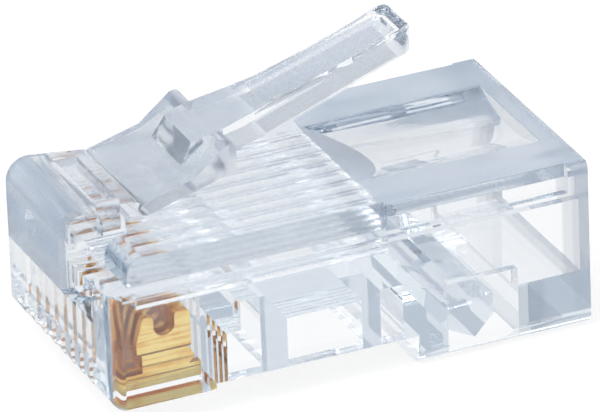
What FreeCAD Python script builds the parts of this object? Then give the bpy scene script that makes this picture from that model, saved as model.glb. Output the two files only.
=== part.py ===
import FreeCAD, Part
import os
import re

import Sketcher

# Eight-position modular plug in clear polycarbonate, not yet crimped to a cable.
# X runs across the plug, Y from the nose to the cable entry and Z up from the foot
# to the latch.  Lengths along Y are measured from the front of the latch bridge.
# Sizes that end in _height are measured from the floor of the nose, which lies
# foot_drop above the plane of the foot.  The ledge, the bridge and the hinge are
# measured from the deck, and the sides of the upper body from the full width.

CONTACTS = 8

SIZES = {
    # outer form
    "plug_width": 11.68,
    "plug_length": 23.0,
    "nose_height": 6.6,
    "foot_drop": 1.18,
    "nose_face": 0.92,
    "nose_radius": 0.65,
    "step_start": 5.63,
    "step_rise": 0.26,
    "foot_start": 15.0,
    "heel_radius": 0.7,
    "ledge_drop": 1.25,
    "shoulder_start": 2.04,
    "shoulder_radius": 0.8,
    "shoulder_inset": 0.59,
    "deck_start": 13.8,
    "deck_inset": 0.34,
    "collar_length": 0.95,
    "collar_radius": 0.3,
    "overcut": 1.0,
    # trough in the deck under the lever
    "trough_width": 6.2,
    "trough_start": 13.55,
    "trough_end": 22.1,
    "trough_depth": 0.72,
    "trough_sweep": 7.1,
    "trough_ramp": 1.9,
    # latch bridge on the nose
    "bridge_width": 5.7,
    "bridge_rise": 1.77,
    "bridge_radius": 1.0,
    "bridge_wall": 0.45,
    "gusset_width": 8.2,
    "gusset_depth": 1.25,
    "gap_width": 0.45,
    "gap_depth": 1.93,
    "tunnel_floor_rise": 0.08,
    "tunnel_roof_rise": 1.27,
    "tunnel_end": 2.03,
    "tunnel_radius": 0.6,
    "post_end": 3.1,
    "well_start": 1.9,
    "well_end": 3.0,
    "well_width": 4.4,
    # living hinge, split at a knuckle as thick as the strap
    "hinge_line": 4.0,
    "hinge_rise": 0.97,
    "strap_thickness": 0.6,
    "knuckle_clearance": 0.03,
    # latch
    "latch_width": 6.0,
    "strap_end": 6.2,
    "strap_rise": 0.6,
    "ear_length": 1.95,
    "ear_rise": 1.2,
    "ear_flat": 0.45,
    "ear_radius": 0.25,
    "root_width": 3.2,
    "waist_start": 8.2,
    "waist_end": 9.6,
    "lever_width": 2.8,
    "lever_start": 6.7,
    "lever_start_rise": 1.88,
    "lever_end": 17.1,
    "lever_end_rise": 4.99,
    "lever_sweep": 53.0,
    "bend_start": 10.2,
    "bend_drop": 1.63,
    "tip_thickness": 1.2,
    "lever_corner": 0.5,
    "lever_edge": 0.2,
    "panel_start": 10.35,
    "panel_end": 16.4,
    "panel_depth": 0.3,
    "rim_width": 0.38,
    # contacts
    "contact_pitch": 1.02,
    "blade_thickness": 0.35,
    "blade_front": 1.6,
    "blade_length": 3.85,
    "blade_recess": 0.22,
    "blade_toe": 0.3,
    "base_depth": 0.65,
    "horn_width": 0.25,
    "horn_height": 1.5,
    "neck_front": 1.2,
    "neck_rear": 3.3,
    "neck_top": 1.5,
    "barb_reach": 0.3,
    "barb_depth": 0.56,
    "head_front": 0.97,
    "head_rear": 3.45,
    "head_side": 2.1,
    "prong_height": 3.2,
    "prong_front": 1.28,
    "prong_radius": 0.22,
    "notch_front": 1.79,
    "notch_rear": 2.73,
    "notch_side": 2.6,
    "notch_radius": 0.48,
    "slot_clearance": 0.03,
    "mouth_height": 1.4,
    # wire channels
    "channel_diameter": 0.9,
    "channel_height": 4.32,
    "channel_start": 2.6,
    # windows moulded from below, and the strain-relief bars between them
    "side_wall": 1.15,
    "front_step_start": 6.45,
    "front_step_end": 7.5,
    "front_step_height": 2.1,
    "front_window_start": 7.1,
    "front_window_end": 8.0,
    "front_window_height": 3.47,
    "middle_window_start": 9.2,
    "middle_window_end": 12.65,
    "middle_window_height": 2.2,
    "rear_window_start": 13.5,
    "rear_window_end": 14.55,
    "rear_window_height": 2.5,
    "clamp_window_start": 16.6,
    "clamp_window_end": 19.9,
    "clamp_length": 2.2,
    "clamp_tip": 1.3,
    "clamp_tip_lift": 0.35,
    "clamp_heel_lift": 1.3,
    "clamp_root": 1.2,
    "clamp_gap": 0.15,
    # cable entry
    "entry_start": 14.1,
    "entry_width": 8.0,
    "entry_floor": 2.2,
    "entry_side": 3.4,
    "crown_width": 6.6,
    "crown_rise": 0.9,
    "sill_length": 2.4,
    "sill_height": 3.8,
}

FLOOR = "foot_drop"
DECK = "foot_drop + nose_height"
LEDGE = f"{DECK} - ledge_drop"
HINGE = f"{DECK} + hinge_rise"
CHANNEL = "foot_drop + channel_height"
BLADE_FLOOR = "foot_drop + blade_recess"
SLOT_FRONT = "blade_front - slot_clearance"
SLOT_REAR = "blade_front + blade_length + slot_clearance"
INNER_HALF = "(plug_width / 2 - side_wall)"
FIRST_CONTACT = f"-{CONTACTS - 1} * contact_pitch / 2"
EAR_END = "strap_end + ear_length"
STRAP_SLOPE = "strap_rise / (strap_end - hinge_line)"
LEVER_SLOPE = "(lever_end_rise - lever_start_rise) / (lever_end - lever_start)"

doc = FreeCAD.newDocument("modular_plug")
sheet = doc.addObject("Spreadsheet::Sheet", "Sizes")
for row, (name, number) in enumerate(SIZES.items(), start=1):
    sheet.set(f"A{row}", name)
    sheet.set(f"B{row}", str(number))
    sheet.setAlias(f"B{row}", name)
doc.recompute()


def bound(text):
    """The expression with each named size read from the sheet."""
    return re.sub(r"[a-z_]+", lambda word: "Sizes." + word.group(), text)


def size(text):
    """The present value of an expression, in millimetres."""
    answer = sheet.evalExpression(bound(text))
    return float(getattr(answer, "Value", answer))


def plane_of(body, role):
    return next(item for item in body.Origin.OriginFeatures if item.Role == role)


def sketch_on(body, role, name, lift="0"):
    """A sketch on an origin plane of the body, lifted along the plane's normal."""
    sketch = body.newObject("Sketcher::SketchObject", name)
    sketch.AttachmentSupport = [(plane_of(body, role), "")]
    sketch.MapMode = "FlatFace"
    if lift != "0":
        sketch.setExpression("AttachmentOffset.Base.z", bound(lift))
    return sketch


def pin_point(sketch, item, end, across, up):
    """Holds one point of the sketch at two sizes from the origin."""
    for kind, place in (("DistanceX", across), ("DistanceY", up)):
        held = Sketcher.Constraint(kind, -1, 1, item, end, size(place))
        index = sketch.addConstraint(held)
        sketch.setExpression(f"Constraints[{index}]", bound(place))


def side_between(start, end, radius):
    """A straight side, or an arc whose centre is on the left for a radius above zero."""
    if not radius:
        return Part.LineSegment(start, end), 1, 2
    chord = end - start
    reach = abs(size(radius))
    sag = reach - (reach ** 2 - (chord.Length / 2) ** 2) ** 0.5
    right = FreeCAD.Vector(chord.y, -chord.x, 0).normalize()
    left_centre = size(radius) > 0
    middle = (start + end) / 2 + right * (sag if left_centre else -sag)
    arc = Part.Arc(start, middle, end)
    return (arc, 1, 2) if left_centre else (arc, 2, 1)


def outline(sketch, corners):
    """A closed outline, each corner held by two sizes.

    A corner is (across, up) or (across, up, radius), where the radius bends the side
    that leaves the corner.
    """
    points = [FreeCAD.Vector(size(corner[0]), size(corner[1]), 0) for corner in corners]
    sides = []
    for index, corner in enumerate(corners):
        radius = corner[2] if len(corner) > 2 else None
        following = points[(index + 1) % len(points)]
        shape, begin, finish = side_between(points[index], following, radius)
        item = sketch.addGeometry(shape)
        sides.append((item, begin, finish))
        if radius:
            held = sketch.addConstraint(Sketcher.Constraint("Radius", item, abs(size(radius))))
            sketch.setExpression(f"Constraints[{held}]", bound(radius.lstrip("-")))
    for index, corner in enumerate(corners):
        item, begin, finish = sides[index]
        after, after_begin, _ = sides[(index + 1) % len(sides)]
        sketch.addConstraint(Sketcher.Constraint("Coincident", item, finish, after, after_begin))
        pin_point(sketch, item, begin, corner[0], corner[1])


def circle(sketch, across, up, radius):
    centre = FreeCAD.Vector(size(across), size(up), 0)
    item = sketch.addGeometry(Part.Circle(centre, FreeCAD.Vector(0, 0, 1), size(radius)))
    pin_point(sketch, item, 3, across, up)
    index = sketch.addConstraint(Sketcher.Constraint("Radius", item, size(radius)))
    sketch.setExpression(f"Constraints[{index}]", bound(radius))


def extrude(body, kind, name, sketch, length, symmetric=False, reverse=False):
    """A pad or a pocket of a sketch, whose length is bound to the sheet."""
    feature = body.newObject(kind, name)
    feature.Profile = sketch
    feature.SideType = "Symmetric" if symmetric else "One side"
    feature.Reversed = reverse
    feature.setExpression("Length", bound(length))
    before = 0.0 if body.Shape.isNull() else body.Shape.Volume
    doc.recompute()
    change = feature.Shape.Volume - before
    if change == 0 or (change < 0) != kind.endswith("Pocket"):
        raise RuntimeError(f"{name} changes the volume by {change}")
    return feature


def round_edges(body, name, radius, wanted):
    """A fillet on the edges of the body's last feature that pass the test."""
    base = body.Tip
    edges = base.Shape.Edges
    chosen = [f"Edge{number}" for number, edge in enumerate(edges, 1) if wanted(edge)]
    if not chosen:
        raise RuntimeError(f"{name} finds no edge")
    fillet = body.newObject("PartDesign::Fillet", name)
    fillet.Base = (base, chosen)
    fillet.setExpression("Radius", bound(radius))
    doc.recompute()
    if not fillet.Shape.isValid() or fillet.Shape.Volume == base.Shape.Volume:
        raise RuntimeError(f"{name} does not round its edges")
    return fillet


def near(number, text, margin=1e-4):
    return abs(number - size(text)) < margin


def runs_along(edge, axis):
    """True for a straight edge parallel to the named axis."""
    if not isinstance(edge.Curve, (Part.Line, Part.LineSegment)):
        return False
    return abs(getattr(edge.tangentAt(edge.FirstParameter), axis)) > 0.9999


def repeat_across(body, name, feature):
    """Copies a feature across the plug, one for each contact."""
    pattern = body.newObject("PartDesign::LinearPattern", name)
    pattern.Originals = [feature]
    pattern.Direction = (plane_of(body, "X_Axis"), [""])
    pattern.Mode = "Spacing"
    pattern.Occurrences = CONTACTS
    pattern.setExpression("Offset", bound("contact_pitch"))
    body.Tip = pattern
    doc.recompute()
    return pattern


def new_body(name):
    """A body whose frame stands in the middle of the plug's length."""
    body = doc.addObject("PartDesign::Body", name)
    body.Label = name
    body.setExpression("Placement.Base.y", bound("-plug_length / 2"))
    return body


# ---------------------------------------------------------------- housing
def outer_form(body):
    """The stepped lower block, the narrower upper body and the collar at the rear."""
    half = "plug_width / 2"
    side = sketch_on(body, "YZ_Plane", "side_profile")
    outline(side, [
        ("nose_face", FLOOR),
        ("step_start", FLOOR),
        ("step_start", f"{FLOOR} + step_rise"),
        ("foot_start", f"{FLOOR} + step_rise"),
        ("foot_start", "0"),
        ("plug_length", "0"),
        ("plug_length", LEDGE),
        ("nose_face", LEDGE),
    ])
    extrude(body, "PartDesign::Pad", "lower_block", side, "plug_width", symmetric=True)
    round_edges(body, "nose_round", "nose_radius", lambda edge: (
        near(edge.CenterOfMass.y, "nose_face")
        and (runs_along(edge, "z") or near(edge.CenterOfMass.z, FLOOR))))
    round_edges(body, "heel_round", "heel_radius", lambda edge: (
        runs_along(edge, "y")
        and near(abs(edge.CenterOfMass.x), half)
        and near(edge.CenterOfMass.z, "0")))

    upper = sketch_on(body, "XY_Plane", "upper_body_plan", LEDGE)
    right = [
        (f"{half} - shoulder_inset", "shoulder_start"),
        (f"{half} - shoulder_inset", "deck_start"),
        (f"{half} - deck_inset", "deck_start"),
        (f"{half} - deck_inset", "plug_length"),
    ]
    left = [(f"-({across})", along) for across, along in reversed(right)]
    outline(upper, right + left)
    extrude(body, "PartDesign::Pad", "upper_body", upper, "ledge_drop")
    round_edges(body, "shoulder_round", "shoulder_radius", lambda edge: (
        runs_along(edge, "x")
        and near(edge.CenterOfMass.y, "shoulder_start")
        and near(edge.CenterOfMass.z, DECK)))

    collar = sketch_on(body, "XZ_Plane", "collar_section", "-plug_length")
    outline(collar, [
        (f"-{half}", LEDGE),
        (half, LEDGE),
        (half, f"{DECK} - collar_radius", "collar_radius"),
        (f"{half} - collar_radius", DECK),
        (f"-{half} + collar_radius", DECK, "collar_radius"),
        (f"-{half}", f"{DECK} - collar_radius"),
    ])
    extrude(body, "PartDesign::Pad", "collar", collar, "collar_length")


def trough(body):
    """The hollow in the deck that the lever bends into, with a ramp at its front."""
    side = "trough_width / 2"
    section = sketch_on(body, "XZ_Plane", "trough_section", "-trough_end")
    outline(section, [
        (f"-{side}", DECK, "trough_sweep"),
        (side, DECK),
        (side, f"{DECK} + overcut"),
        (f"-{side}", f"{DECK} + overcut"),
    ])
    extrude(body, "PartDesign::Pocket", "trough", section, "trough_end - trough_start",
            reverse=True)
    ramp = sketch_on(body, "YZ_Plane", "trough_ramp_profile")
    outline(ramp, [
        ("trough_start", f"{DECK} - trough_depth"),
        ("trough_start + trough_ramp", f"{DECK} - trough_depth"),
        ("trough_start", DECK),
    ])
    extrude(body, "PartDesign::Pad", "trough_ramp", ramp, "trough_width", symmetric=True)


def bridge(body):
    """The hollow bridge on the nose that carries the latch."""
    top = f"{DECK} + bridge_rise"
    floor = f"{DECK} - gap_depth"
    tunnel_floor = f"{DECK} + tunnel_floor_rise"
    tunnel_roof = f"{DECK} + tunnel_roof_rise"
    plate_top = f"{HINGE} + strap_thickness / 2"
    plate_underside = f"{HINGE} - strap_thickness / 2"

    gusset = sketch_on(body, "XY_Plane", "gusset_plan", floor)
    outline(gusset, [
        ("-bridge_width / 2", "0"),
        ("bridge_width / 2", "0"),
        ("gusset_width / 2", "nose_face"),
        ("gusset_width / 2", "shoulder_start"),
        ("-gusset_width / 2", "shoulder_start"),
        ("-gusset_width / 2", "nose_face"),
    ])
    extrude(body, "PartDesign::Pad", "gusset", gusset, "gusset_depth", reverse=True)
    chin = sketch_on(body, "YZ_Plane", "chin_profile")
    outline(chin, [
        ("0", floor),
        ("-overcut", floor),
        ("-overcut", f"{floor} - gusset_depth"),
        ("nose_face", f"{floor} - gusset_depth"),
    ])
    extrude(body, "PartDesign::Pocket", "chin", chin, "gusset_width", symmetric=True)

    side = sketch_on(body, "YZ_Plane", "bridge_profile")
    outline(side, [
        ("0", floor),
        ("post_end", floor),
        ("post_end", plate_underside),
        ("hinge_line", plate_underside),
        ("hinge_line", plate_top),
        ("0", top),
    ])
    extrude(body, "PartDesign::Pad", "bridge", side, "bridge_width", symmetric=True)
    round_edges(body, "bridge_round", "bridge_radius", lambda edge: (
        runs_along(edge, "x")
        and near(edge.CenterOfMass.y, "0")
        and near(edge.CenterOfMass.z, top)))

    for hand, sign in (("right", 1), ("left", -1)):
        gap = sketch_on(body, "XY_Plane", f"{hand}_gap_plan", DECK)
        inner = f"{sign} * bridge_width / 2"
        outer = f"{sign} * (bridge_width / 2 + gap_width)"
        outline(gap, [
            (inner, "nose_face - overcut"),
            (outer, "nose_face - overcut"),
            (outer, "shoulder_start"),
            (inner, "shoulder_start"),
        ])
        extrude(body, "PartDesign::Pocket", f"{hand}_gap", gap, "gap_depth")

    tunnel = sketch_on(body, "YZ_Plane", "tunnel_profile")
    outline(tunnel, [
        ("bridge_wall", tunnel_floor),
        ("tunnel_end", tunnel_floor),
        ("tunnel_end", tunnel_roof),
        ("bridge_wall", tunnel_roof),
    ])
    extrude(body, "PartDesign::Pocket", "tunnel", tunnel, "bridge_width", symmetric=True)
    round_edges(body, "tunnel_round", "tunnel_radius", lambda edge: (
        runs_along(edge, "x") and near(edge.CenterOfMass.z, tunnel_roof)))

    well = sketch_on(body, "XY_Plane", "well_plan", f"{top} + overcut")
    outline(well, [
        ("-well_width / 2", "well_start"),
        ("well_width / 2", "well_start"),
        ("well_width / 2", "well_end"),
        ("-well_width / 2", "well_end"),
    ])
    extrude(body, "PartDesign::Pocket", "well", well,
            "bridge_rise + overcut - tunnel_floor_rise")

    seat = sketch_on(body, "YZ_Plane", "knuckle_seat")
    circle(seat, "hinge_line", HINGE, "strap_thickness / 2 + knuckle_clearance")
    extrude(body, "PartDesign::Pocket", "knuckle_recess", seat, "bridge_width",
            symmetric=True)


def cable_entry(body):
    """The space for the cable jacket, raised in the middle, with a sill at its front."""
    length = "plug_length - entry_start"
    top = "entry_floor + entry_side"
    chest = sketch_on(body, "XZ_Plane", "chest_section", "-plug_length")
    outline(chest, [
        ("-entry_width / 2", "entry_floor"),
        ("entry_width / 2", "entry_floor"),
        ("entry_width / 2", top),
        ("crown_width / 2", top),
        ("crown_width / 2", f"{top} + crown_rise"),
        ("-crown_width / 2", f"{top} + crown_rise"),
        ("-crown_width / 2", top),
        ("-entry_width / 2", top),
    ])
    extrude(body, "PartDesign::Pocket", "chest", chest, length, reverse=True)

    sill = sketch_on(body, "YZ_Plane", "sill_profile")
    outline(sill, [
        ("entry_start", "entry_floor"),
        ("entry_start + sill_length", "entry_floor"),
        ("entry_start", f"{FLOOR} + sill_height"),
    ])
    extrude(body, "PartDesign::Pad", "sill", sill, "entry_width", symmetric=True)


def windows(body):
    """Openings cored from below, which leave the strain-relief bars between them."""
    plan = (
        ("front_step", f"{FLOOR} + front_step_height"),
        ("front_window", f"{FLOOR} + front_window_height"),
        ("middle_window", f"{FLOOR} + middle_window_height"),
        ("rear_window", f"{FLOOR} + rear_window_height"),
        ("clamp_window", "entry_floor + overcut"),
    )
    for name, depth in plan:
        opening = sketch_on(body, "XY_Plane", f"{name}_plan")
        outline(opening, [
            (f"-{INNER_HALF}", f"{name}_start"),
            (INNER_HALF, f"{name}_start"),
            (INNER_HALF, f"{name}_end"),
            (f"-{INNER_HALF}", f"{name}_end"),
        ])
        extrude(body, "PartDesign::Pocket", name, opening, depth, reverse=True)

    clamp = sketch_on(body, "YZ_Plane", "clamp_profile")
    root = "clamp_window_start"
    outline(clamp, [
        (root, "entry_floor - clamp_root"),
        (f"{root} + clamp_tip", "clamp_tip_lift"),
        (f"{root} + clamp_length", "clamp_heel_lift"),
        (f"{root} + clamp_length", "entry_floor"),
        (root, "entry_floor"),
    ])
    extrude(body, "PartDesign::Pad", "jacket_clamp", clamp,
            f"2 * ({INNER_HALF} - clamp_gap)", symmetric=True)


def wire_channels(body):
    """Eight round channels for the wires and eight slots for the contacts."""
    bore = sketch_on(body, "XZ_Plane", "channel_section", "-entry_start")
    circle(bore, FIRST_CONTACT, CHANNEL, "channel_diameter / 2")
    channel = extrude(body, "PartDesign::Pocket", "channel", bore,
                      "entry_start - channel_start", reverse=True)
    repeat_across(body, "channels", channel)

    below = f"{FLOOR} - overcut"
    ahead = "nose_face - overcut"
    lip = f"{FLOOR} + mouth_height"
    side = sketch_on(body, "YZ_Plane", "slot_profile", FIRST_CONTACT)
    outline(side, [
        (ahead, below),
        (SLOT_REAR, below),
        (SLOT_REAR, CHANNEL),
        (SLOT_FRONT, CHANNEL),
        (SLOT_FRONT, lip),
        (ahead, lip),
    ])
    slot = extrude(body, "PartDesign::Pocket", "slot", side,
                   "blade_thickness + 2 * slot_clearance", symmetric=True)
    repeat_across(body, "slots", slot)


def make_housing():
    body = new_body("housing")
    outer_form(body)
    trough(body)
    bridge(body)
    cable_entry(body)
    windows(body)
    wire_channels(body)
    return body


# ---------------------------------------------------------------- latch
def make_latch():
    """The strap, the two catch ears and the lever, from the knuckle to the tip."""
    body = new_body("latch_lever")
    half = "strap_thickness / 2"
    strap_top = f"{HINGE} + {half} + strap_rise"

    knuckle = sketch_on(body, "YZ_Plane", "knuckle_section")
    circle(knuckle, "hinge_line", HINGE, half)
    extrude(body, "PartDesign::Pad", "knuckle", knuckle, "latch_width", symmetric=True)

    strap = sketch_on(body, "YZ_Plane", "strap_profile")
    ear_top = f"{strap_top} + ear_rise"
    ear_underside = f"{HINGE} - {half} + {STRAP_SLOPE} * ({EAR_END} - hinge_line)"
    outline(strap, [
        ("hinge_line", f"{HINGE} - {half}"),
        (EAR_END, ear_underside),
        (EAR_END, ear_top),
        (f"{EAR_END} - ear_flat", ear_top),
        ("strap_end", strap_top),
        ("hinge_line", f"{HINGE} + {half}"),
    ])
    extrude(body, "PartDesign::Pad", "strap_and_ears", strap, "latch_width", symmetric=True)
    round_edges(body, "ear_round", "ear_radius", lambda edge: (
        runs_along(edge, "x") and near(edge.CenterOfMass.z, ear_top)))

    lever = sketch_on(body, "YZ_Plane", "lever_profile")
    lever_top = f"{HINGE} + lever_end_rise"
    bend_top = f"{HINGE} + lever_start_rise + {LEVER_SLOPE} * (bend_start - lever_start)"
    outline(lever, [
        ("strap_end", f"{strap_top} - {half}"),
        (EAR_END, ear_underside),
        ("bend_start", f"{bend_top} - bend_drop"),
        ("lever_end", f"{lever_top} - tip_thickness"),
        ("lever_end", lever_top, "-lever_sweep"),
        ("lever_start", f"{HINGE} + lever_start_rise"),
        ("strap_end", strap_top),
    ])
    extrude(body, "PartDesign::Pad", "lever", lever, "root_width", symmetric=True)
    for hand, sign in (("right", 1), ("left", -1)):
        waist = sketch_on(body, "XY_Plane", f"{hand}_waist_plan", f"{HINGE} - strap_thickness")
        root = f"{sign} * root_width / 2"
        waisted = f"{sign} * lever_width / 2"
        aside = f"{sign} * (root_width / 2 + overcut)"
        outline(waist, [
            (root, "waist_start"),
            (waisted, "waist_end"),
            (waisted, "lever_end + overcut"),
            (aside, "lever_end + overcut"),
            (aside, "waist_start"),
        ])
        extrude(body, "PartDesign::Pocket", f"{hand}_waist", waist,
                "lever_end_rise + strap_thickness + overcut", reverse=True)
    round_edges(body, "tip_round", "lever_corner", lambda edge: (
        runs_along(edge, "z") and near(edge.CenterOfMass.y, "lever_end")))
    round_edges(body, "lever_round", "lever_edge", lambda edge: (
        isinstance(edge.Curve, Part.Circle)
        and near(edge.Curve.Radius, "lever_sweep")
        and near(abs(edge.CenterOfMass.x), "lever_width / 2")))

    panel = sketch_on(body, "YZ_Plane", "panel_profile")
    start_floor = f"{HINGE} + lever_start_rise + {LEVER_SLOPE} * (panel_start - lever_start)"
    end_floor = f"{HINGE} + lever_start_rise + {LEVER_SLOPE} * (panel_end - lever_start)"
    outline(panel, [
        ("panel_start", f"{start_floor} - panel_depth"),
        ("panel_end", f"{end_floor} - panel_depth"),
        ("panel_end", f"{end_floor} + overcut"),
        ("panel_start", f"{start_floor} + overcut"),
    ])
    extrude(body, "PartDesign::Pocket", "panel", panel, "lever_width - 2 * rim_width",
            symmetric=True)
    return body


# ---------------------------------------------------------------- contacts
def make_contact(number):
    """A stamped blade: a foot with a horn, a barbed neck and two piercing prongs."""
    body = new_body(f"contact_{number}")
    body.setExpression("Placement.Base.x", bound(f"{FIRST_CONTACT} + {number - 1} * contact_pitch"))

    def at(along, up):
        return f"blade_front + {along}", f"{BLADE_FLOOR} + {up}"

    blade = sketch_on(body, "YZ_Plane", f"blade_profile_{number}")
    outline(blade, [
        at("0", "0"),
        at("blade_length", "0"),
        at("blade_length", "base_depth"),
        at("neck_rear", "base_depth"),
        at("neck_rear + barb_reach", "neck_top - barb_depth"),
        at("neck_rear", "neck_top"),
        at("head_rear", "neck_top"),
        at("head_rear", "prong_height"),
        at("notch_rear", "prong_height"),
        at("notch_rear", "notch_side") + ("-notch_radius",),
        at("notch_front", "notch_side"),
        at("notch_front", "prong_height"),
        at("prong_front", "prong_height"),
        at("head_front", "head_side"),
        at("head_front", "neck_top"),
        at("neck_front", "neck_top"),
        at("neck_front", "base_depth"),
        at("horn_width", "base_depth"),
        at("horn_width", "horn_height"),
        at("0", "horn_height"),
    ])
    extrude(body, "PartDesign::Pad", f"blade_{number}", blade, "blade_thickness",
            symmetric=True)
    round_edges(body, f"toe_{number}", "blade_toe", lambda edge: (
        runs_along(edge, "x")
        and near(edge.CenterOfMass.y, "blade_front")
        and near(edge.CenterOfMass.z, BLADE_FLOOR)))
    round_edges(body, f"prongs_{number}", "prong_radius", lambda edge: (
        runs_along(edge, "x") and near(edge.CenterOfMass.z, f"{BLADE_FLOOR} + prong_height")))
    return body


parts = [make_housing(), make_latch()]
parts += [make_contact(number) for number in range(1, CONTACTS + 1)]
doc.recompute()

for item in doc.Objects:
    if "Invalid" in item.State or "Error" in item.State:
        raise RuntimeError(f"{item.Name} did not compute: {item.State}")

os.makedirs("parts", exist_ok=True)
for part in parts:
    if part.Shape.isNull() or not part.Shape.isValid():
        raise RuntimeError(f"{part.Label} has no valid shape")
    if len(part.Shape.Solids) != 1:
        raise RuntimeError(f"{part.Label} is in {len(part.Shape.Solids)} pieces")
    part.Shape.exportStep(f"parts/{part.Label}.step")
    print(part.Label, round(part.Shape.Volume, 3), part.Shape.BoundBox)
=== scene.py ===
import math

import bmesh
import bpy
from mathutils import Matrix, Vector


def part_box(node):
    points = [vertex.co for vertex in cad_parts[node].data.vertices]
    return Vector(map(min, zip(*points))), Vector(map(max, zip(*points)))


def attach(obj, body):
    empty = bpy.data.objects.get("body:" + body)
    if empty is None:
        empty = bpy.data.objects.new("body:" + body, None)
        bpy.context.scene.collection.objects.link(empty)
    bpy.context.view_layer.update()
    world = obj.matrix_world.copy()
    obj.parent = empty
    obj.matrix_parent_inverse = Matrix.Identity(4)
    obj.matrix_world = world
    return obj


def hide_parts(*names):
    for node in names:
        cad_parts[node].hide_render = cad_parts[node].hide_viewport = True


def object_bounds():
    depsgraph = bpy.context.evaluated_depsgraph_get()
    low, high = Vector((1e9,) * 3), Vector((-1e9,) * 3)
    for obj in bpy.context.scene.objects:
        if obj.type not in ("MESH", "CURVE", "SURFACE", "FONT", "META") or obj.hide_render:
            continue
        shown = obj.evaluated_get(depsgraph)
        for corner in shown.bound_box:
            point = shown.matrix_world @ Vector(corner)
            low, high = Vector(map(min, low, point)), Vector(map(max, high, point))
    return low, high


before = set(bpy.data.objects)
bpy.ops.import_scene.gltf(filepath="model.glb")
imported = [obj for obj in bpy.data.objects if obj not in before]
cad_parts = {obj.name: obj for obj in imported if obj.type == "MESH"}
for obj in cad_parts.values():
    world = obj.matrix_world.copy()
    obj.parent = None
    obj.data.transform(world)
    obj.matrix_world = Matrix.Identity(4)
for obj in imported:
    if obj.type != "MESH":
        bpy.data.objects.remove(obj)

CAD_LOW, CAD_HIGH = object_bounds()
SCENE = bpy.context.scene
HOUSING_LOW, HOUSING_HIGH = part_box("housing")
LATCH_LOW, LATCH_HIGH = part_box("latch_lever")
MM = 0.001
CONTACTS = [f"contact_{number}" for number in range(1, 9)]

# rounding of the pieces' edges
LONG_EDGE_ROUND = 0.07 * MM
SHORT_EDGE_ROUND = 0.03 * MM
CONTACT_EDGE_ROUND = 0.02 * MM
SHORT_EDGE = 1.6 * MM
FLAT_ANGLE = math.radians(0.8)
EDGE_ANGLE = math.radians(28.0)
SMOOTH_ANGLE = math.radians(35.0)

# clear plastic: the first of each pair is for polished skin, the second for textured skin
PLASTIC_INDEX = 1.58
PLASTIC_TINT = (0.25, 0.50, 0.70, 1.0)
PLASTIC_DENSITY = 22.0
CLOUD_COLOR = (0.47, 0.54, 0.64, 1.0)
CLOUDING = (0.015, 0.8)
GRAIN_STRENGTH = (0.004, 0.6)
ROUGHEST = (0.006, 0.4)
BODY_SPECKLE = 0.06
LATCH_SPECKLE = 0.3

# gate mark on the bridge front: beside the middle, over the foot, and its radius
GATE_SIDE = -0.195 * MM
GATE_HEIGHT = 7.68 * MM
GATE_RADIUS = 0.55 * MM
RAMP_NORMAL = (0.0, 0.354, 0.935)

# gold plate over copper alloy
GOLD_DARK = (0.86, 0.47, 0.11, 1.0)
GOLD_LIGHT = (1.0, 0.77, 0.31, 1.0)
SHEARED_COLOR = (0.76, 0.33, 0.06, 1.0)
# painted shade: a dark colour laid into the stamped crease grooves, where shade falls
CREASE_PAINTED_SHADE = (0.30, 0.15, 0.04, 1.0)
CREASES = ((2.92, 1.0), (2.36, 0.4), (1.86, 0.7))  # height over the foot in mm, strength of the groove and of its painted shade

# studio: position between straight down (0) and straight up (1), and colour
ROOM_BANDS = ((0.49, (0.95, 0.97, 1.0, 1.0)), (0.50, (0.42, 0.46, 0.53, 1.0)),
              (0.72, (0.50, 0.55, 0.63, 1.0)), (0.86, (0.95, 0.97, 1.0, 1.0)),
              (1.0, (1.0, 1.0, 1.0, 1.0)))
WHITE = (1.0, 1.0, 1.0, 1.0)
TABLE_SIZE = 1.2
TABLE_GAP = 0.02 * MM
TABLE_COLOR = (0.9, 0.9, 0.9, 1.0)
TABLE_OWN_SHARE = 0.85
KEY_PLACE = (0.10, -0.25, 0.45)
KEY_SIZE = 0.35
KEY_POWER = 3.0


# ---------------------------------------------------------------- node helpers
def new_material(name):
    """A material with only an output node, and a function that adds nodes to it."""
    material = bpy.data.materials.new(name)
    material.use_nodes = True
    nodes = material.node_tree.nodes
    nodes.clear()
    output = nodes.new("ShaderNodeOutputMaterial")

    def add(kind, inputs=None, **settings):
        node = nodes.new("ShaderNode" + kind)
        for key, value in settings.items():
            setattr(node, key, value)
        for key, value in (inputs or {}).items():
            if isinstance(value, bpy.types.NodeSocket):
                material.node_tree.links.new(value, node.inputs[key])
            else:
                node.inputs[key].default_value = value
        return node

    return material, add, output


def link(material, start, end):
    material.node_tree.links.new(start, end)


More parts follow.
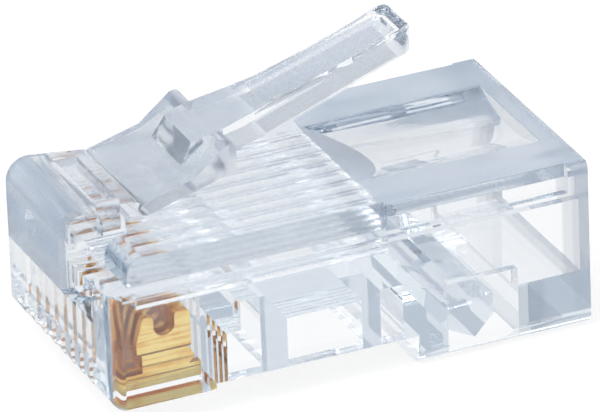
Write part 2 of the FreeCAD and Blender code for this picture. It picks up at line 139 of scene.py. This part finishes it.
# ---------------------------------------------------------------- materials
def clear_polycarbonate(name, frosting, speckle):
    """Clear moulded plastic: blue in the thick parts, polished or textured at the skin.

    frosting takes the object coordinates and returns a socket that is 1 where the mould
    is textured and 0 where it is polished; speckle is how far the grain shows in it.
    """
    material, add, output = new_material(name)
    place = add("TexCoord").outputs["Object"]
    textured = frosting(add, place)

    def by_texture(polished, rough):
        """A socket that goes from polished to rough where the mould is textured."""
        return add("MapRange", {"Value": textured, "To Min": polished,
                                "To Max": rough}).outputs["Result"]

    flow = add("TexNoise", {"Vector": place, "Scale": 260.0, "Detail": 2.0, "Roughness": 0.5})
    grain = add("TexNoise", {"Vector": place, "Scale": 9000.0, "Detail": 3.0, "Roughness": 0.6})
    haze = add("MapRange", {"Value": flow.outputs["Fac"], "From Min": 0.4, "From Max": 0.7,
                            "To Min": 0.0, "To Max": ROUGHEST[0]})
    ripple = add("Bump", {"Strength": 0.01, "Distance": 0.00005, "Height": flow.outputs["Fac"]})
    sunk = add("Bump", {"Strength": 0.5, "Distance": 0.00002, "Height": textured,
                        "Normal": ripple.outputs["Normal"]})
    skin = add("Bump", {"Strength": by_texture(*GRAIN_STRENGTH), "Distance": 0.000006,
                        "Height": grain.outputs["Fac"], "Normal": sunk.outputs["Normal"]})
    clear = add("BsdfPrincipled", {
        "Base Color": (0.99, 0.995, 1.0, 1.0),
        "IOR": PLASTIC_INDEX,
        "Transmission Weight": 1.0,
        "Roughness": by_texture(haze.outputs["Result"], ROUGHEST[1]),
        "Normal": skin.outputs["Normal"],
    })
    glow = add("BsdfTranslucent", {"Color": CLOUD_COLOR, "Normal": skin.outputs["Normal"]})
    chalk = add("BsdfDiffuse", {"Color": CLOUD_COLOR, "Normal": skin.outputs["Normal"]})
    cloud = add("MixShader", {0: 0.5, 1: glow.outputs["BSDF"], 2: chalk.outputs["BSDF"]})
    spots = add("MapRange", {"Value": grain.outputs["Fac"], "From Min": 0.35,
                             "From Max": 0.65, "To Min": 1.0 - speckle,
                             "To Max": 1.0 + speckle})
    share = add("Math", {0: by_texture(*CLOUDING), 1: spots.outputs["Result"]},
                operation="MULTIPLY")
    shader = add("MixShader", {0: share.outputs["Value"], 1: clear.outputs["BSDF"],
                               2: cloud.outputs["Shader"]})
    body = add("VolumeAbsorption", {"Color": PLASTIC_TINT, "Density": PLASTIC_DENSITY})
    link(material, shader.outputs["Shader"], output.inputs["Surface"])
    link(material, body.outputs["Volume"], output.inputs["Volume"])
    return material


def both(add, one, other):
    """A socket that is 1 only where two sockets are."""
    return add("Math", {0: one, 1: other}, operation="MINIMUM").outputs["Value"]


def strongest(add, *shares):
    """A socket that follows the highest of several (socket, strength) pairs."""
    top = None
    for socket, strength in shares:
        share = add("Math", {0: socket, 1: strength}, operation="MULTIPLY").outputs["Value"]
        top = share if top is None else add("Math", {0: top, 1: share},
                                            operation="MAXIMUM").outputs["Value"]
    return top


def distance_from(add, socket, value):
    """A socket with the distance of another socket from a value."""
    shift = add("Math", {0: socket, 1: value}, operation="SUBTRACT").outputs["Value"]
    return add("Math", {0: shift}, operation="ABSOLUTE").outputs["Value"]


def in_box(add, place, low, high, soft):
    """A socket that is 1 inside a box of object space and fades to 0 over soft outside it."""
    split = add("SeparateXYZ", {0: place})
    inside = None
    for axis in range(3):
        middle, half = (low[axis] + high[axis]) / 2, (high[axis] - low[axis]) / 2
        apart = distance_from(add, split.outputs[axis], middle)
        fade = add("MapRange", {"Value": apart, "From Min": half, "From Max": half + soft,
                                "To Min": 1.0, "To Max": 0.0}).outputs["Result"]
        inside = fade if inside is None else both(add, inside, fade)
    return inside


def on_slope(add, place, normal, point, reach):
    """A socket that is 1 or more near the plane through a point, and 0 at reach from it."""
    ahead = add("VectorMath", {0: place, 1: normal}, operation="DOT_PRODUCT")
    apart = distance_from(add, ahead.outputs["Value"], Vector(normal).dot(point))
    return add("MapRange", {"Value": apart, "From Min": 0.0, "From Max": reach,
                            "To Min": 3.0, "To Max": 0.0}).outputs["Result"]


def facing_up(add):
    """A socket that is 1 on skin that looks up and 0 on the sides and below."""
    split = add("SeparateXYZ", {0: add("TexCoord").outputs["Normal"]})
    return add("MapRange", {"Value": split.outputs["Z"], "From Min": 0.4,
                            "From Max": 0.8}).outputs["Result"]


def disc(add, place, centre, radius, soft):
    """A socket that is 1 inside a circle drawn on the front and fades to 0 over soft."""
    flat = add("VectorMath", {0: place, 1: (1.0, 0.0, 1.0)}, operation="MULTIPLY")
    apart = add("VectorMath", {0: flat.outputs["Vector"], 1: centre}, operation="DISTANCE")
    return add("MapRange", {"Value": apart.outputs["Value"], "From Min": radius,
                            "From Max": radius + soft, "To Min": 1.0,
                            "To Max": 0.0}).outputs["Result"]


def housing_frosting(add, place):
    """How strongly each part of the body is textured.

    Most on the ramp, the deck, the tunnel's floor and the front and crown of the bridge;
    less on the shoulders, the rear rim and what else looks up.
    """
    front, rear = HOUSING_LOW.y, HOUSING_HIGH.y
    foot, top = HOUSING_LOW.z, HOUSING_HIGH.z
    up = facing_up(add)

    def area(low, high, soft):
        """A mask for a box; x, then y behind the front and z over the foot, in mm."""
        lift = Vector((0.0, front, foot))
        return in_box(add, place, lift + Vector(low) * MM, lift + Vector(high) * MM, soft * MM)

    length, height = (rear - front) / MM, (top - foot) / MM
    nose = area((-4.0, -1.0, 5.85), (4.0, 0.3, height + 1.0), 0.05)
    gate = disc(add, place, (GATE_SIDE, 0.0, foot + GATE_HEIGHT), GATE_RADIUS, 0.04 * MM)
    mark = add("MapRange", {"Value": gate, "To Min": 1.0, "To Max": 0.45}).outputs["Result"]
    nose = add("Math", {0: nose, 1: mark}, operation="MULTIPLY").outputs["Value"]
    crown = area((-2.8, -1.0, height - 0.3), (2.8, 0.9, height + 1.0), 0.8)
    tunnel = area((-2.9, 0.3, 6.45), (2.9, 3.4, 6.75), 0.03)
    upper = area((-7.0, 0.0, 6.3), (7.0, length, height), 0.02)
    deck = area((-6.0, 13.6, 7.74), (6.0, length - 0.2, 8.0), 0.02)
    slope = on_slope(add, place, RAMP_NORMAL,
                     Vector((0.0, front + 13.55 * MM, foot + 7.78 * MM)), 0.03 * MM)
    beside = area((-3.1, 13.55, 7.0), (3.1, 15.5, 7.8), 0.02)
    rim = area((-7.0, length - 0.7, 1.0), (7.0, length + 1.0, height), 0.15)
    shoulder = area((-5.3, 2.0, 6.4), (5.3, length, 7.9), 0.02)
    core = area((-5.0, 0.0, 0.0), (5.0, length, height), 0.1)
    outside = add("Math", {0: 1.0, 1: core}, operation="SUBTRACT").outputs["Value"]
    return strongest(add, (nose, 0.68), (both(add, crown, up), 0.6),
                     (both(add, upper, up), 0.14), (deck, 0.7),
                     (both(add, slope, beside), 0.8), (rim, 0.3),
                     (both(add, tunnel, up), 0.7), (both(add, shoulder, outside), 0.34))


def latch_frosting(add, place):
    """The grained panel on the lever, and the upper skin of the strap and the lever's root."""
    base = Vector((0.0, LATCH_LOW.y, LATCH_LOW.z))
    tip, top = (LATCH_HIGH.y - base.y) / MM, (LATCH_HIGH.z - base.z) / MM
    up = facing_up(add)

    def area(low, high, soft):
        """A mask for a box; x, then y and z from the knuckle's end and the lowest skin."""
        return in_box(add, place, base + Vector(low) * MM, base + Vector(high) * MM, soft * MM)

    panel = area((-1.03, tip - 6.8, 0.0), (1.03, tip - 0.7, top + 1.0), 0.02)
    strap = area((-4.0, 0.0, 0.0), (4.0, 2.6, 2.0), 0.1)
    root = area((-4.0, 0.0, 0.0), (4.0, tip - 7.2, top), 0.4)
    return strongest(add, (both(add, panel, up), 0.5), (both(add, strap, up), 0.14),
                     (both(add, root, up), 0.32))


def blend_color(add, factor, one, other):
    """A socket that goes from one colour to another as factor goes from 0 to 1."""
    mix = add("Mix", {0: factor, 6: one, 7: other}, data_type="RGBA")
    return mix.outputs[2]


def gold_plate():
    """Gold plate over stamped strip: rolling marks along Y, stamped crease grooves painted dark
    as shade, and sheared edges.
    """
    material, add, output = new_material("gold_plate")
    place = add("TexCoord").outputs["Object"]
    along = add("Mapping", {"Vector": place, "Scale": (1.0, 0.05, 1.0)})
    grain = add("TexNoise", {"Vector": along.outputs["Vector"], "Scale": 7000.0, "Detail": 3.0})
    wear = add("TexNoise", {"Vector": place, "Scale": 1200.0, "Detail": 2.0})
    streaks = add("Mix", {0: 0.6, 2: wear.outputs["Fac"], 3: grain.outputs["Fac"]})
    tone = add("ValToRGB", {"Fac": streaks.outputs[0]})
    for stop, position, color in zip(tone.color_ramp.elements, (0.38, 0.56),
                                     (GOLD_DARK, GOLD_LIGHT)):
        stop.position = position
        stop.color = color
    split = add("SeparateXYZ", {0: add("TexCoord").outputs["Normal"]})
    across = add("Math", {0: split.outputs["X"]}, operation="ABSOLUTE")
    sheared = add("MapRange", {"Value": across.outputs["Value"], "From Min": 0.4,
                               "From Max": 0.8, "To Min": 1.0, "To Max": 0.0})
    metal = blend_color(add, sheared.outputs["Result"], tone.outputs["Color"], SHEARED_COLOR)
    foot = HOUSING_LOW.z
    # the stamped crease lines: they cut the grooves in the bump and place the painted shade in
    # the base colour
    crease_grooves_and_shade = strongest(add, *[
        (in_box(add, place, (-6.0 * MM, HOUSING_LOW.y, foot + (height - 0.02) * MM),
                (6.0 * MM, 0.0, foot + (height + 0.02) * MM), 0.03 * MM), strength)
        for height, strength in CREASES])
    stamped = add("Bump", {"Strength": 1.0, "Distance": 0.00004, "Height": crease_grooves_and_shade},
                  invert=True)
    marks = add("Bump", {"Strength": 0.8, "Distance": 0.00003, "Height": grain.outputs["Fac"],
                         "Normal": stamped.outputs["Normal"]})
    # painted shade: the base colour turns dark along the crease grooves
    shader = add("BsdfPrincipled", {
        "Base Color": blend_color(add, crease_grooves_and_shade, metal, CREASE_PAINTED_SHADE),
        "Metallic": 1.0,
        "Roughness": 0.22,
        "Normal": marks.outputs["Normal"],
    })
    link(material, shader.outputs["BSDF"], output.inputs["Surface"])
    return material


def studio_floor():
    """White table that shows its own colour to the camera and in plastic and metal.

    The camera sees a share of the lit table with it, which holds the shadow.
    """
    material, add, output = new_material("studio_floor")
    ray = add("LightPath")
    direct = add("Math", {0: ray.outputs["Is Camera Ray"], 1: ray.outputs["Is Glossy Ray"]},
                 operation="MAXIMUM")
    seen = add("Math", {0: direct.outputs["Value"], 1: ray.outputs["Is Transmission Ray"]},
               operation="MAXIMUM")
    own = add("Emission", {"Color": WHITE, "Strength": 1.0})
    matt = add("BsdfDiffuse", {"Color": TABLE_COLOR})
    own_share = add("MapRange", {"Value": ray.outputs["Is Camera Ray"], "To Min": 1.0,
                                 "To Max": TABLE_OWN_SHARE})
    share = add("Math", {0: seen.outputs["Value"], 1: own_share.outputs["Result"]},
                operation="MULTIPLY")
    mix = add("MixShader", {0: share.outputs["Value"], 1: matt.outputs["BSDF"],
                            2: own.outputs["Emission"]})
    link(material, mix.outputs["Shader"], output.inputs["Surface"])
    return material


# ---------------------------------------------------------------- pieces
def clean_copy(node, name, body, width, fine, segments=2):
    """A copy of a CAD node with flat faces joined up and its sharp edges rounded.

    Long edges are rounded by width first, and the short ones by fine after them.
    """
    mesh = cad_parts[node].data.copy()
    mesh.name = name
    shape = bmesh.new()
    shape.from_mesh(mesh)
    bmesh.ops.remove_doubles(shape, verts=shape.verts, dist=1e-6)
    bmesh.ops.dissolve_limit(shape, angle_limit=FLAT_ANGLE, verts=shape.verts,
                             edges=shape.edges, use_dissolve_boundaries=False)
    for offset, shortest, longest in ((width, SHORT_EDGE, math.inf), (fine, 0.0, SHORT_EDGE)):
        sharp = [edge for edge in shape.edges
                 if len(edge.link_faces) == 2 and edge.calc_face_angle() > EDGE_ANGLE
                 and shortest <= edge.calc_length() < longest]
        bmesh.ops.bevel(shape, geom=sharp, offset=offset, offset_type="OFFSET",
                        segments=segments, profile=0.5, affect="EDGES", clamp_overlap=True)
    shape.to_mesh(mesh)
    shape.free()
    mesh.materials.clear()
    piece = bpy.data.objects.new(name, mesh)
    SCENE.collection.objects.link(piece)
    for polygon in mesh.polygons:
        polygon.use_smooth = True
    mesh.set_sharp_from_angle(angle=SMOOTH_ANGLE)
    flat = piece.modifiers.new("flat_faces", "WEIGHTED_NORMAL")
    flat.mode = "FACE_AREA"
    flat.weight = 100
    flat.keep_sharp = True
    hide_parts(node)
    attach(piece, body)
    return piece


def dress(piece, material):
    piece.data.materials.append(material)


# ---------------------------------------------------------------- studio
def table():
    half = TABLE_SIZE / 2
    height = CAD_LOW.z - TABLE_GAP
    mesh = bpy.data.meshes.new("table_top")
    mesh.from_pydata([(-half, -half, height), (half, -half, height), (half, half, height),
                      (-half, half, height)], [], [(0, 1, 2, 3)])
    mesh.materials.append(studio_floor())
    table_top = bpy.data.objects.new("table_top", mesh)
    SCENE.collection.objects.link(table_top)


def room():
    """The walls and ceiling: banded by height, and white on the wall behind the plug."""
    world = bpy.data.worlds.new("studio")
    SCENE.world = world
    world.use_nodes = True
    nodes, links = world.node_tree.nodes, world.node_tree.links
    nodes.clear()
    direction = nodes.new("ShaderNodeTexCoord").outputs["Generated"]

    split = nodes.new("ShaderNodeSeparateXYZ")
    links.new(direction, split.inputs[0])
    height = nodes.new("ShaderNodeMapRange")
    height.inputs["From Min"].default_value = -1.0
    height.inputs["From Max"].default_value = 1.0
    links.new(split.outputs["Z"], height.inputs["Value"])
    bands = nodes.new("ShaderNodeValToRGB")
    links.new(height.outputs["Result"], bands.inputs["Fac"])
    stops = bands.color_ramp.elements
    (lowest, lowest_color), *between, (highest, highest_color) = ROOM_BANDS
    stops[0].position = lowest
    stops[0].color = lowest_color
    stops[1].position = highest
    stops[1].color = highest_color
    for position, color in between:
        stops.new(position).color = color

    toward = nodes.new("ShaderNodeVectorMath")
    toward.operation = "DOT_PRODUCT"
    toward.inputs[1].default_value = camera_frame()[2]
    links.new(direction, toward.inputs[0])
    backdrop = nodes.new("ShaderNodeMapRange")
    backdrop.interpolation_type = "SMOOTHSTEP"
    backdrop.inputs["From Min"].default_value = -0.2
    backdrop.inputs["From Max"].default_value = -0.8
    links.new(toward.outputs["Value"], backdrop.inputs["Value"])
    blend = nodes.new("ShaderNodeMix")
    blend.data_type = "RGBA"
    links.new(backdrop.outputs["Result"], blend.inputs[0])
    links.new(bands.outputs["Color"], blend.inputs[6])
    blend.inputs[7].default_value = WHITE

    light = nodes.new("ShaderNodeBackground")
    light.inputs["Strength"].default_value = 1.0
    links.new(blend.outputs[2], light.inputs["Color"])
    output = nodes.new("ShaderNodeOutputWorld")
    links.new(light.outputs["Background"], output.inputs["Surface"])


def soft_lamp(name, position, target, size, power):
    light = bpy.data.lights.new(name, "AREA")
    light.shape = "SQUARE"
    light.size = size
    light.energy = power
    lamp = bpy.data.objects.new(name, light)
    SCENE.collection.objects.link(lamp)
    lamp.location = position
    lamp.rotation_mode = "QUATERNION"
    lamp.rotation_quaternion = (Vector(position) - Vector(target)).to_track_quat("Z", "Y")


# ---------------------------------------------------------------- camera
CAMERA_AZIMUTH = math.radians(67.16)
CAMERA_ELEVATION = math.radians(26.45)
CAMERA_ROLL = math.radians(-2.303)
CAMERA_DISTANCE = 0.400
CAMERA_LENS = 564.6
CAMERA_PAN = (1.040 * MM, 1.730 * MM)
TARGET_AHEAD = 0.5 * MM
TARGET_HEIGHT = 4.0 * MM


def camera_frame():
    """The camera's right, up and back directions in the row frame."""
    turn, rise = CAMERA_AZIMUTH, CAMERA_ELEVATION
    back = Vector((math.sin(turn) * math.cos(rise), -math.cos(turn) * math.cos(rise),
                   math.sin(rise)))
    right = Vector((math.cos(turn), math.sin(turn), 0.0))
    up = back.cross(right)
    roll = Matrix.Rotation(CAMERA_ROLL, 3, back)
    return roll @ right, roll @ up, back


def camera():
    right, up, back = camera_frame()
    low, high = HOUSING_LOW, HOUSING_HIGH
    target = Vector(((low.x + high.x) / 2, (low.y + high.y) / 2 - TARGET_AHEAD,
                     low.z + TARGET_HEIGHT))
    place = target + back * CAMERA_DISTANCE + right * CAMERA_PAN[0] + up * CAMERA_PAN[1]
    data = bpy.data.cameras.new("camera")
    data.lens = CAMERA_LENS
    data.sensor_width = 36.0
    data.clip_start = 0.01
    data.clip_end = 10.0
    eye = bpy.data.objects.new("camera", data)
    SCENE.collection.objects.link(eye)
    eye.matrix_world = Matrix((
        (right.x, up.x, back.x, place.x),
        (right.y, up.y, back.y, place.y),
        (right.z, up.z, back.z, place.z),
        (0.0, 0.0, 0.0, 1.0)))
    SCENE.camera = eye


# ---------------------------------------------------------------- scene
SCENE.view_settings.view_transform = "Standard"
SCENE.cycles.max_bounces = 40
SCENE.cycles.transmission_bounces = 40
SCENE.cycles.glossy_bounces = 32
SCENE.cycles.diffuse_bounces = 4
camera()
table()
room()

BODY_PLASTIC = clear_polycarbonate("clear_polycarbonate", housing_frosting, BODY_SPECKLE)
LATCH_PLASTIC = clear_polycarbonate("clear_polycarbonate_latch", latch_frosting,
                                    LATCH_SPECKLE)
GOLD = gold_plate()
dress(clean_copy("housing", "moulded_housing", "housing", LONG_EDGE_ROUND,
                 SHORT_EDGE_ROUND), BODY_PLASTIC)
dress(clean_copy("latch_lever", "moulded_latch", "latch", LONG_EDGE_ROUND,
                 SHORT_EDGE_ROUND), LATCH_PLASTIC)
for contact in CONTACTS:
    dress(clean_copy(contact, f"plated_{contact}", "housing", CONTACT_EDGE_ROUND,
                     CONTACT_EDGE_ROUND, segments=1), GOLD)

centre = (HOUSING_LOW + HOUSING_HIGH) / 2
soft_lamp("key_lamp", KEY_PLACE, centre, KEY_SIZE, KEY_POWER)
